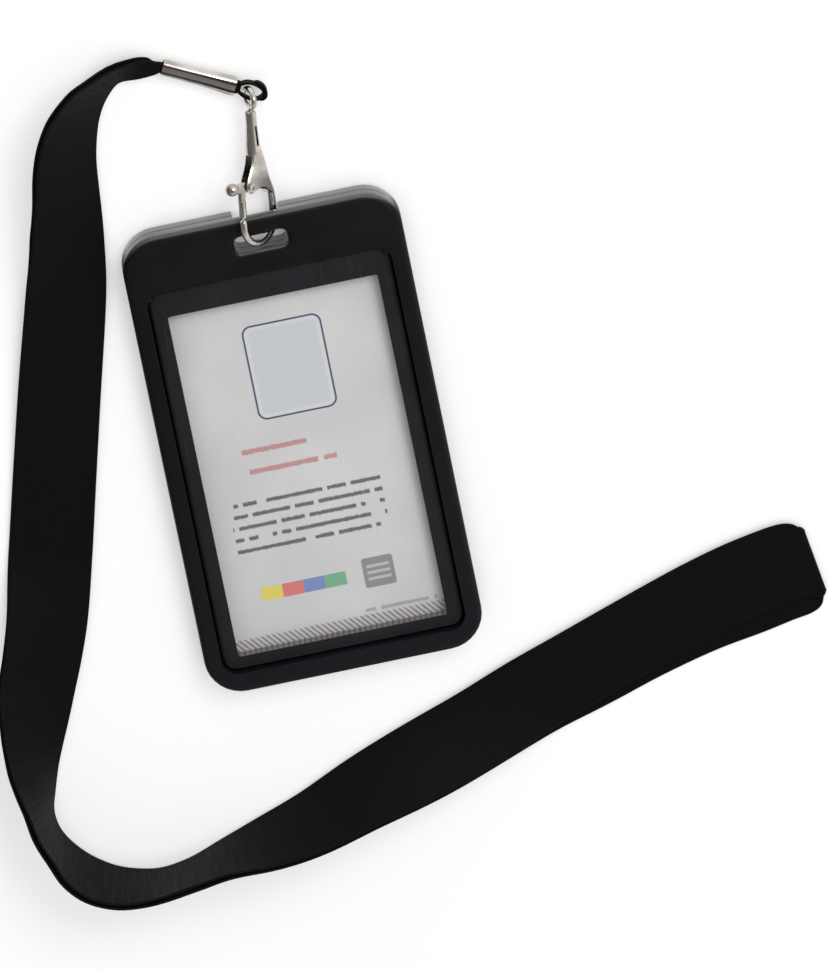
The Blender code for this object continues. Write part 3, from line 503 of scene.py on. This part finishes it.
# Satin blue-black of the ring under the sheet, with the strokes on its lower inner wall.
def makeDoorMaterial(s):
    material, tree, shader, place = newMaterial("doorBlack", s["plain"])
    grain = fillGroup(tree, grainGroup, {"Place": place["Object"], "Slow Scale": s["unevenScale"]})
    edge = fillGroup(tree, edgeGroup, {"Place": place["Object"], "Amount": s["edgeWearAndSheenAmount"]})
    violet = ramp(tree, grain.outputs["Uneven"], s["violetFrom"], s["violetTo"])
    color = mixColor(tree, violet, s["base"], s["violet"])
    # Painted highlight along the edges, patchy like wear: a lighter tone where the edge mask is high.
    color = mixColor(tree, edge.outputs["Mask"], color, s["edgeWearAndSheen"])
    hatch = fillGroup(tree, hatchGroup, {"Place": place["Object"]}).outputs
    facing = ramp(tree, axes(tree, place["Normal"])[1], s["wallFrom"], s["wallTo"])
    wall = calc(tree, "MULTIPLY", facing, hatch["Strip"])
    strokes = mixColor(tree, hatch["Stroke"], hatchLook["light"], hatchLook["ink"])
    shown = calc(tree, "MULTIPLY", wall, s["strokeShare"])
    tree.links.new(mixColor(tree, shown, color, strokes), shader.inputs["Base Color"])
    addRoughness(tree, shader, grain.outputs["Uneven"], s)
    addBump(tree, shader, grain.outputs["Height"], s["grain"], s["grainStrength"])
    return material


sheetLook = {
    "plain": {"Base Color": (0.38, 0.4, 0.42, 1), "IOR": 1.49}, "roughLow": 0.04, "roughHigh": 0.1,
    "haze": 0.01, "gloss": 0.55, "glossPower": 5.0, "scratch": 0.025, "unevenScale": 25.0,
}


# Clear sheet: see-through from above, glossy at a slant, with hairline scratches.
def makeSheetMaterial(s):
    material, tree, shader, place = newMaterial("clearSheet", s["plain"])
    scratches = fillGroup(tree, scratchGroup, {"Place": place["Object"], "Amount": s["scratch"]})
    grain = fillGroup(tree, grainGroup, {"Place": place["Object"], "Slow Scale": s["unevenScale"]})
    slant = put(tree, "ShaderNodeLayerWeight", {"Blend": 0.5}).outputs["Facing"]
    clear = calc(tree, "MULTIPLY_ADD", calc(tree, "POWER", slant, s["glossPower"]), s["gloss"], s["haze"])
    tree.links.new(calc(tree, "ADD", clear, scratches.outputs["Mask"]), shader.inputs["Alpha"])
    addRoughness(tree, shader, grain.outputs["Uneven"], s)
    return material


cardLook = {
    "plain": {"Roughness": 0.62, "IOR": 1.45},
    "paper": (0.63, 0.63, 0.625, 1), "shade": (0.57, 0.57, 0.57, 1),
    "unevenScale": 40.0, "fibreScale": 5200.0, "fibre": 0.00002, "fibreStrength": 0.3,
    "blue": (0.02, 0.03, 0.12, 1), "tint": (0.5, 0.53, 0.6, 1), "red": (0.45, 0.07, 0.06, 1),
    "ink": (0.05, 0.05, 0.055, 1), "grey": (0.2, 0.2, 0.2, 1), "yellowChip": (0.75, 0.6, 0.05, 1),
    "redChip": (0.65, 0.12, 0.1, 1), "blueChip": (0.12, 0.2, 0.5, 1), "greenChip": (0.12, 0.38, 0.2, 1),
    "soft": 0.00022, "strokeShare": 0.75,
}
# Printed boxes: middle x, y, half width, half height and corner radius in mm, colour and strength
cardBoxes = (
    (0.5, 18.0, 9.6, 12.0, 2.2, "blue", 0.95), (0.5, 18.0, 9.15, 11.55, 1.8, "paper", 1.0),
    (0.5, 18.0, 8.2, 10.6, 1.2, "tint", 0.55),
    (-14.6, -37.6, 2.5, 1.6, 0.2, "yellowChip", 0.85), (-9.4, -37.6, 2.5, 1.6, 0.2, "redChip", 0.85),
    (-4.2, -37.6, 2.5, 1.6, 0.2, "blueChip", 0.85), (1.0, -37.6, 2.5, 1.6, 0.2, "greenChip", 0.85),
    (11.6, -37.6, 3.7, 3.7, 0.6, "grey", 0.85), (11.6, -37.6, 2.7, 0.25, 0.1, "paper", 0.6),
    (11.6, -36.0, 2.7, 0.25, 0.1, "paper", 0.6), (11.6, -39.2, 2.7, 0.25, 0.1, "paper", 0.6),
)
# Ruled rows of dashes: borders, pitch and cell in mm, thickness as a share of the pitch, colour and strength
cardLines = (
    {"left": -17.3, "right": 0.8, "top": 0.3, "pitch": 3.0, "rows": 1, "cell": 1.5, "thickness": 0.38,
     "ragged": 1500.0, "unevenness": 0.6, "ink": "red", "strength": 0.62},
    {"left": -16.8, "right": 7.3, "top": -4.9, "pitch": 3.0, "rows": 1, "cell": 1.4, "thickness": 0.38,
     "ragged": 1500.0, "unevenness": 0.6, "ink": "red", "strength": 0.62},
    {"left": -20.8, "right": 16.4, "top": -12.7, "pitch": 2.93, "rows": 5, "cell": 1.15, "thickness": 0.3,
     "ragged": 2100.0, "unevenness": 0.8, "ink": "ink", "strength": 0.85},
    {"left": 6.4, "right": 24.0, "top": -45.9, "pitch": 2.0, "rows": 1, "cell": 1.3, "thickness": 0.4,
     "ragged": 1800.0, "unevenness": 0.6, "ink": "ink", "strength": 0.4},
)
dashLook = {"blankShare": 0.75, "inkShare": 0.35, "rowShift": 0.37, "gapChance": 0.2, "soft": 0.0002}


# Rows of short dashes with uneven gaps.
def ruledLines(tree, place, s):
    x, y, _ = axes(tree, place)
    down = calc(tree, "DIVIDE", calc(tree, "SUBTRACT", s["top"] * mm, y), s["pitch"] * mm)
    row = calc(tree, "FLOOR", down)
    band = calc(tree, "ABSOLUTE", calc(tree, "SUBTRACT", calc(tree, "FRACT", down), 0.5))
    ragged = put(tree, "ShaderNodeTexNoise", {"Vector": place, "Scale": s["ragged"], "Detail": 1.0})
    uneven = calc(tree, "MULTIPLY", calc(tree, "SUBTRACT", ragged.outputs[0], 0.5),
                  s["thickness"] * s["unevenness"])
    line = ramp(tree, calc(tree, "ADD", band, uneven), s["thickness"] * dashLook["blankShare"],
                s["thickness"] * dashLook["inkShare"])
    along = calc(tree, "DIVIDE", x, s["cell"] * mm)
    column = calc(tree, "FLOOR", calc(tree, "MULTIPLY_ADD", row, dashLook["rowShift"], along))
    cell = put(tree, "ShaderNodeCombineXYZ", {0: column, 1: row}).outputs[0]
    kept = put(tree, "ShaderNodeTexWhiteNoise", {"Vector": cell}, noise_dimensions="2D").outputs[0]
    dash = calc(tree, "MULTIPLY", line, calc(tree, "GREATER_THAN", kept, dashLook["gapChance"]))
    left, right, soft = s["left"] * mm, s["right"] * mm, dashLook["soft"]
    inside = calc(tree, "MULTIPLY", ramp(tree, x, left, left + soft), ramp(tree, x, right + soft, right))
    rows = calc(tree, "MULTIPLY", calc(tree, "GREATER_THAN", row, -0.5),
                calc(tree, "LESS_THAN", row, s["rows"] - 0.5))
    shown = calc(tree, "MULTIPLY", dash, calc(tree, "MULTIPLY", inside, rows))
    return calc(tree, "MULTIPLY", shown, s["strength"])


# Matt printed paper: a framed photo box, ruled lines, colour chips and a grey chip, with no words.
def makeCardMaterial(s):
    material, tree, shader, place = newMaterial("insertPaper", s["plain"])
    grain = fillGroup(tree, grainGroup, {"Place": place["Object"], "Fine Scale": s["fibreScale"],
                                         "Slow Scale": s["unevenScale"]})
    patchy = ramp(tree, grain.outputs["Uneven"], noiseLow, noiseHigh)
    color = mixColor(tree, patchy, s["shade"], s["paper"])
    for x, y, halfX, halfY, corner, ink, strength in cardBoxes:
        box = fillGroup(tree, boxGroup, {
            "Place": place["Object"], "Middle": (x * mm, y * mm, 0), "Half": (halfX * mm, halfY * mm, 0),
            "Corner": corner * mm, "Soft": s["soft"]})
        color = mixColor(tree, calc(tree, "MULTIPLY", box.outputs[0], strength), color, s[ink])
    for rule in cardLines:
        color = mixColor(tree, ruledLines(tree, place["Object"], rule), color, s[rule["ink"]])
    hatch = fillGroup(tree, hatchGroup, {"Place": place["Object"]}).outputs
    shown = calc(tree, "MULTIPLY", hatch["Stroke"], s["strokeShare"])
    strokes = mixColor(tree, shown, s["shade"], hatchLook["ink"])
    tree.links.new(mixColor(tree, hatch["Strip"], color, strokes), shader.inputs["Base Color"])
    addBump(tree, shader, grain.outputs["Height"], s["fibre"], s["fibreStrength"])
    return material


clothLook = {
    "base": (0.0012, 0.0012, 0.0015, 1), "lit": (0.0036, 0.0035, 0.0048, 1), "rowLeast": 0.8,
    "plain": {"IOR": 1.45, "Specular IOR Level": 0.1, "Sheen Weight": 0.008, "Sheen Roughness": 0.5,
              "Sheen Tint": (0.6, 0.6, 0.68, 1)},
    "roughLow": 0.6, "roughHigh": 0.7, "height": 0.00006, "heightStrength": 0.5,
}


# Black woven polyester.
def makeClothMaterial(s):
    material, tree, shader, place = newMaterial("wovenBlack", s["plain"])
    weave = fillGroup(tree, weaveGroup, {"Place": place["UV"]}).outputs
    rows = ramp(tree, weave["Rows"], noiseLow, noiseHigh, s["rowLeast"], 1.0)
    tone = calc(tree, "MULTIPLY", weave["Height"], rows)
    tree.links.new(mixColor(tree, tone, s["base"], s["lit"]), shader.inputs["Base Color"])
    addRoughness(tree, shader, weave["Rows"], s)
    addBump(tree, shader, weave["Height"], s["height"], s["heightStrength"])
    return material


nickelLook = {
    "base": (0.68, 0.65, 0.605, 1), "dull": (0.44, 0.4, 0.355, 1), "dullFrom": 0.38, "dullTo": 0.68,
    "plain": {"Metallic": 1.0}, "roughLow": 0.12, "roughHigh": 0.3, "scratch": 0.35,
    "grainScale": 900.0, "unevenScale": 170.0, "height": 0.00002, "heightStrength": 0.25,
}


# Polished nickel plate with duller patches and hairline scratches; the ferrule has two dark lengthwise lines.
def makeNickelMaterial(name, s, darkLines=()):
    material, tree, shader, place = newMaterial(name, s["plain"])
    grain = fillGroup(tree, grainGroup, {"Place": place["Object"], "Fine Scale": s["grainScale"],
                                         "Slow Scale": s["unevenScale"]})
    scratches = fillGroup(tree, scratchGroup, {"Place": place["Object"], "Amount": s["scratch"]})
    patchy = ramp(tree, grain.outputs["Uneven"], s["dullFrom"], s["dullTo"])
    color = mixColor(tree, patchy, s["base"], s["dull"])
    color = mixColor(tree, scratches.outputs["Mask"], color, s["dull"])
    if darkLines:
        start, end = (Vector(ferruleSettings[key]) * mm for key in ("start", "end"))
        turn = math.atan2(end.y - start.y, end.x - start.x)
        moved = vectorCalc(tree, "SUBTRACT", place["Object"], tuple((start + end) / 2)).outputs[0]
        turned = put(tree, "ShaderNodeVectorRotate", {"Vector": moved, "Angle": -turn},
                     rotation_type="Z_AXIS")
        for middleY, halfY, tone, strength in darkLines:
            line = fillGroup(tree, boxGroup, {
                "Place": turned.outputs[0], "Middle": (0, middleY * mm, 0),
                "Half": ((end - start).length, halfY * mm, 0),
                "Corner": ferruleSettings["darkLineCorner"] * mm, "Soft": ferruleSettings["darkLineSoft"] * mm})
            color = mixColor(tree, calc(tree, "MULTIPLY", line.outputs[0], strength), color, tone)
    tree.links.new(color, shader.inputs["Base Color"])
    addRoughness(tree, shader, grain.outputs["Uneven"], s)
    addBump(tree, shader, grain.outputs["Height"], s["height"], s["heightStrength"])
    return material


caseBlack, doorBlack = makeCaseMaterial(caseLook), makeDoorMaterial(doorLook)
clearSheet, insertPaper = makeSheetMaterial(sheetLook), makeCardMaterial(cardLook)
wovenBlack, nickel = makeClothMaterial(clothLook), makeNickelMaterial("polishedNickel", nickelLook)
ferruleNickel = makeNickelMaterial("ferruleNickel", nickelLook, ferruleSettings["darkLines"])
print("materials made")

# Ribbon and its small loop
outRun, backRun = ribbonRuns(ribbonSettings)
ribbonOut = strapPiece("ribbonOutRun", [(outRun, ribbonSettings)], wovenBlack)
ribbonBack = strapPiece("ribbonBackRun", [(backRun, ribbonSettings)], wovenBlack)
for piece, run, key in ((ribbonOut, outRun, "outLength"), (ribbonBack, backRun, "backLength")):
    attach(piece, "lanyard")
    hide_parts("neck_ribbon")


# Stations of a band at the ferrule's end: on its edge, or lying flat with its own thickness in each row.
def loopStations(route, steps, flat):
    start, end = (Vector(ferruleSettings[key]) for key in ("start", "end"))
    along = (end - start).normalized()
    side = Vector((0, 0, 1)).cross(along).normalized()
    rows = smoothRows(route, steps)
    centres = [end + row[0] * along + row[1] * side + Vector((0, 0, row[2])) for row in rows]
    stations = []
    for i, row in enumerate(rows):
        travel = centres[min(i + 1, len(rows) - 1)] - centres[max(i - 1, 0)]
        travel.z = 0
        travel.normalize()
        stations.append((centres[i], travel, -side if flat else Vector((0, 0, 1)), *row[3:]))
    return stations


# The outer turn of the gathered loop, and the gathered plug in the ferrule's mouth with its own thickness
outerRoute = ((3.9, 2.62, 1.35, 1.2), (4.6, 2.9, 1.3, 2.0), (5.8, 2.65, 1.25, 2.5), (6.95, 1.85, 1.2, 2.8),
              (7.6, 0.5, 1.1, 2.7), (7.35, -0.5, 1.2, 2.3), (6.7, -1.0, 1.2, 1.6), (6.0, -1.15, 1.1, 1.0))
plugRoute = ((-1.4, 0, 0, 3.3, 2.1), (-0.1, 0, 0, 3.4, 2.2), (0.5, 0, 0, 3.5, 2.3), (1.0, 0.1, 0, 3.2, 2.0),
             (1.3, 0.1, 0, 2.7, 1.5), (1.45, 0.1, 0, 2.0, 0.8))
loopSettings = dict(ribbonSettings, selvageRise=0.03, selvageWidth=0.4, creaseHeight=0.0, routeSteps=4)
plugSettings = dict(loopSettings, acrossSteps=24, creaseHeight=0.35, creaseAlong=4.0, creaseAcross=0.45,
                    routeSteps=3)
endLoop = strapPiece("gatheredLoop", [
    (loopStations(loopRoute, loopSettings["routeSteps"], False), loopSettings),
    (loopStations(outerRoute, loopSettings["routeSteps"], False), loopSettings),
    (loopStations(plugRoute, plugSettings["routeSteps"], True), plugSettings)], wovenBlack)
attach(endLoop, "lanyard")
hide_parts("ribbon_end_loop")
print("ribbon made")


windowCorners = {
    "middleY": -6.4, "halfX": 23.65, "halfY": 42.15, "radius": 2.0, "newRadius": 0.5,  # mm
    "near": 0.08, "past": 0.02,  # how far a point of the corner may lie from it
}


# The window's inner corners, drawn in to a smaller radius.
def tighterCorners(mesh, s):
    for vertex in mesh.vertices:
        x, y = vertex.co.x / mm, vertex.co.y / mm
        signX, signY = (1 if x > 0 else -1), (1 if y > s["middleY"] else -1)
        centre = Vector((signX * s["halfX"], s["middleY"] + signY * s["halfY"]))
        offset = Vector((x, y)) - centre
        within = offset.x * signX > -s["past"] and offset.y * signY > -s["past"]
        if within and abs(offset.length - s["radius"]) < s["near"]:
            spare = s["radius"] - s["newRadius"]
            moved = centre + Vector((signX * spare, signY * spare)) + offset * (s["newRadius"] / s["radius"])
            vertex.co.x, vertex.co.y = moved.x * mm, moved.y * mm


dressSettings = {
    "caseEdge": 0.12, "doorEdge": 0.06, "hookEdge": 0.05, "edgeSegments": 2,  # mm
    "mergeDistance": 0.000002, "flatAngle": 0.5, "sharpAngle": 32.0, "springAngle": 80.0,  # metres, degrees
}


# A smooth-shaded piece with softened edges, made on a CAD node's own shape.
def dressNode(node, name, body, material, edge=0.0, angle=dressSettings["sharpAngle"], corners=None):
    source = cadNodes[node].data
    mesh = bpy.data.meshes.new(name)
    mesh.from_pydata([v.co[:] for v in source.vertices], [], [tuple(p.vertices) for p in source.polygons])
    build = bmesh.new()
    build.from_mesh(mesh)
    bmesh.ops.remove_doubles(build, verts=build.verts, dist=dressSettings["mergeDistance"])
    bmesh.ops.dissolve_limit(build, angle_limit=math.radians(dressSettings["flatAngle"]),
                             verts=build.verts, edges=build.edges)
    build.to_mesh(mesh)
    build.free()
    if corners:
        tighterCorners(mesh, corners)
    mesh.shade_smooth()
    mesh.set_sharp_from_angle(angle=math.radians(angle))
    mesh.materials.append(material)
    piece = bpy.data.objects.new(name, mesh)
    scene.collection.objects.link(piece)
    if edge:
        soft = piece.modifiers.new("softEdges", "BEVEL")
        soft.width, soft.segments = edge * mm, dressSettings["edgeSegments"]
        soft.limit_method, soft.angle_limit = "ANGLE", math.radians(angle)
        soft.harden_normals = True
    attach(piece, body)
    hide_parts(node)
    return piece


# The gate's spring gets a mesh of its own.
def shortenSpring(spring):
    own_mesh(spring)


dressNode("front_shell", "frontCase", "holder", caseBlack, dressSettings["caseEdge"])
dressNode("rear_shell", "rearCase", "holder", caseBlack, dressSettings["caseEdge"])
dressNode("door_frame", "doorRing", "door", doorBlack, dressSettings["doorEdge"],
          corners=windowCorners)
dressNode("hook_body", "hookBody", "hook", nickel, dressSettings["hookEdge"])
dressNode("trigger_lever", "gateLever", "trigger", nickel, dressSettings["hookEdge"])
dressNode("lever_pin", "leverRivet", "hook", nickel)
gateSpring = dressNode("trigger_spring", "gateSpring", "hook", nickel,
                       angle=dressSettings["springAngle"])
shortenSpring(gateSpring)
dressNode("swivel_eye", "wireEye", "swivel_eye", nickel)
dressNode("crimp_ferrule", "crimpedFerrule", "lanyard", ferruleNickel)
for node, material in (("front_window", clearSheet), ("rear_window", clearSheet),
                       ("insert_card", insertPaper)):
    cadNodes[node].data.materials.clear()
    cadNodes[node].data.materials.append(material)
print("case and hook dressed")

# Heights and sides of the world are the direction's z and x
lightSettings = {
    "floorHeight": -0.0002, "floorHalf": 3.0, "floorColor": 0.8, "floorShown": 0.42, "floorGlow": 0.6,
    # The next three values paint a contact shadow: they dim the floor's glow near the object.
    "paintedShadowReach": 0.008, "paintedShadowGlow": 0.25, "paintedShadowEnd": 0.8,
    "worldFrom": -0.1, "worldTo": 0.8, "worldLow": 0.5, "worldHigh": 0.66,
    "glossFrom": 0.6, "glossTo": 0.95, "glossLow": 1.0, "glossTop": 0.2,
    "darkSideFrom": -0.8, "darkSideTo": -0.1, "glossDarkSide": 0.2,
    "keyPlace": (0.38, 0.5, 0.9), "keySize": 0.55, "keyPower": 6.0,  # metres, watts
}


# Rays that should see the plain white background.
def shownRays(tree):
    rays = put(tree, "ShaderNodeLightPath").outputs
    return calc(tree, "MAXIMUM", rays["Is Camera Ray"],
                calc(tree, "MAXIMUM", rays["Is Glossy Ray"], rays["Is Transmission Ray"]))


def makeFloor(s):
    half, z = s["floorHalf"], s["floorHeight"]
    mesh = bpy.data.meshes.new("paleFloor")
    corners = [(-half, -half, z), (half, -half, z), (half, half, z), (-half, half, z)]
    mesh.from_pydata(corners, [], [tuple(range(len(corners)))])
    floor = bpy.data.objects.new("paleFloor", mesh)
    scene.collection.objects.link(floor)
    material, tree, shader, _ = newMaterial("paleFloor", {"Roughness": 0.9, "Specular IOR Level": 0.0,
                                                          "Emission Color": (1, 1, 1, 1)})
    shown = shownRays(tree)
    lit, seen = ((s[key],) * 3 + (1,) for key in ("floorColor", "floorShown"))
    tree.links.new(mixColor(tree, shown, lit, seen), shader.inputs["Base Color"])
    # Painted contact shadow: ambient occlusion dims the floor's glow where the object is near.
    near = put(tree, "ShaderNodeAmbientOcclusion", {"Distance": s["paintedShadowReach"]}, samples=8).outputs[1]
    paintedShadow = ramp(tree, near, 0.0, s["paintedShadowEnd"], s["paintedShadowGlow"], 1.0)
    glow = calc(tree, "MULTIPLY", paintedShadow, s["floorGlow"])
    tree.links.new(calc(tree, "MULTIPLY", shown, glow), shader.inputs["Emission Strength"])
    mesh.materials.append(material)


def makeWorld(s):
    world = bpy.data.worlds.new("softStudio")
    scene.world = world
    world.use_nodes = True
    tree = world.node_tree
    background = tree.nodes["Background"]
    background.inputs["Color"].default_value = (1, 1, 1, 1)
    side, _, height = axes(tree, put(tree, "ShaderNodeTexCoord").outputs["Generated"])
    diffuse = ramp(tree, height, s["worldFrom"], s["worldTo"], s["worldLow"], s["worldHigh"])
    glossy = calc(tree, "MULTIPLY",
                  ramp(tree, height, s["glossFrom"], s["glossTo"], s["glossLow"], s["glossTop"]),
                  ramp(tree, side, s["darkSideFrom"], s["darkSideTo"], s["glossDarkSide"], 1.0))
    rays = put(tree, "ShaderNodeLightPath").outputs
    level = put(tree, "ShaderNodeMix", {0: rays["Is Glossy Ray"], 2: diffuse, 3: glossy}).outputs[0]
    shown = calc(tree, "MAXIMUM", rays["Is Camera Ray"], rays["Is Transmission Ray"])
    strength = put(tree, "ShaderNodeMix", {0: shown, 2: level, 3: 1.0}).outputs[0]
    tree.links.new(strength, background.inputs["Strength"])


def makeKeyLight(s):
    data = bpy.data.lights.new("softKey", "AREA")
    data.size, data.energy = s["keySize"], s["keyPower"]
    lamp = bpy.data.objects.new("softKey", data)
    scene.collection.objects.link(lamp)
    place = Vector(s["keyPlace"])
    lamp.location = place
    lamp.rotation_mode = "QUATERNION"
    lamp.rotation_quaternion = (-place).to_track_quat("-Z", "Y")


makeFloor(lightSettings)
makeWorld(lightSettings)
makeKeyLight(lightSettings)
scene.view_settings.view_transform = "Standard"
print("studio made")
